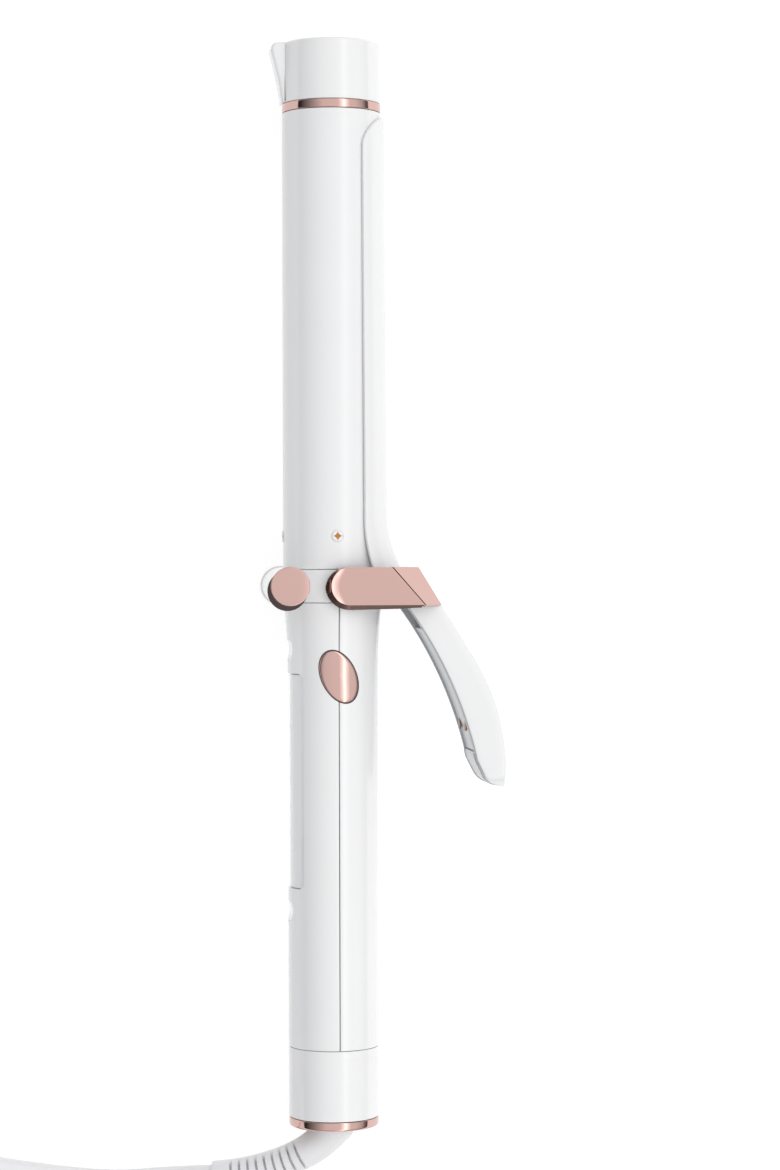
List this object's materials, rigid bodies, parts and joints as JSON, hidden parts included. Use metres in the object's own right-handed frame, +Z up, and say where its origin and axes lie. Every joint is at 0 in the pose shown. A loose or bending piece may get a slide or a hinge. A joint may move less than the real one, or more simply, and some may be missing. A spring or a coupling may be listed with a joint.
{
  "type": "curling iron",
  "caption": "Curling iron with a round barrel, a sprung clamp worked by a thumb lever, a hinge cover, a resting bar, press buttons in the handle and a swivelling lead with a plug.",
  "frame": {"origin": "centre of the iron's box without its lead, on the surface it lies on", "axes": "+Y along the barrel to the tip, +X to the thumb lever, +Z up from the surface to the side that shows"},
  "size_m": [0.2919, 0.371, 0.0404],
  "materials": {
    "barrel_coat": "smooth glossy white coat on aluminium",
    "white_gloss": "glossy moulded white",
    "rose_gold": "polished rose-gold plating",
    "steel": "bright pressed steel",
    "brass": "bright",
    "core_metal": "extruded",
    "heater": "fired ceramic, off-white",
    "insulator": "heat-proof moulding",
    "board": "green board",
    "dark_part": "black moulding",
    "panel": "glossy pale grey",
    "light_guide": "clear light guide",
    "cord_white": "satin white flexible plastic",
    "strap": "woven strap"
  },
  "bodies": {
    "lead": {"strain_relief": "cord_white", "swivel_stem": "insulator", "slip_rings": "brass", "cord_free": "cord_white", "cord_coil": "cord_white", "cord_tail": "cord_white", "cord_tie": "strap", "plug_body": "cord_white", "plug_blades": "brass"},
    "iron": {"barrel_tube": "barrel_coat", "barrel_screws": "brass", "heater_core_front": "core_metal", "heater_core_back": "core_metal", "ceramic_heater": "heater", "thermal_fuse": "steel", "heater_leads": "cord_white", "tip_plug": "insulator", "tip_ring": "rose_gold", "cool_tip": "white_gloss", "hinge_collar": "white_gloss", "hinge_pins": "steel", "hinge_springs": "steel", "rest_bar": "rose_gold", "rest_bar_caps": "rose_gold", "rest_bar_screw": "steel", "handle_shell_left": "white_gloss", "handle_shell_right": "white_gloss", "handle_screws": "steel", "handle_badge": "rose_gold", "control_panel": "panel", "indicator_lights": "light_guide", "circuit_board": "board", "circuit_screws": "steel", "press_switches": "dark_part", "end_collar": "white_gloss", "end_ring": "rose_gold", "brush_contacts": "brass"},
    "clamp": {"clamp_plate": "barrel_coat", "hinge_bracket": "steel", "hinge_cover": "rose_gold", "thumb_lever": "white_gloss", "lever_liner": "white_gloss", "lever_screws": "steel", "clamp_rivets": "steel"},
    "heat_button": {"heat_button": "white_gloss"},
    "power_button": {"power_button": "white_gloss"}
  },
  "joints": [
    {"name": "cord_swivel", "type": "hinge", "parent": "lead", "child": "iron", "pos_m": [-0.01644, -0.1702, 0.0202], "axis": [0, -1, 0], "continuous": true},
    {"name": "clamp_hinge", "type": "hinge", "parent": "iron", "child": "clamp", "pos_m": [-0.01284, -0.0002, 0.0202], "axis": [0, 0, -1], "range_deg": [0, 25], "stiffness_Nm_per_rad": 0.3, "springref_deg": -20.05},
    {"name": "heat_press", "type": "slide", "parent": "iron", "child": "heat_button", "axis": [1, 0, 0], "range_m": [0, 0.0006], "stiffness_N_per_m": 800, "springref_m": -0.0004},
    {"name": "power_press", "type": "slide", "parent": "iron", "child": "power_button", "axis": [1, 0, 0], "range_m": [0, 0.0006], "stiffness_N_per_m": 800, "springref_m": -0.0004}
  ]
}
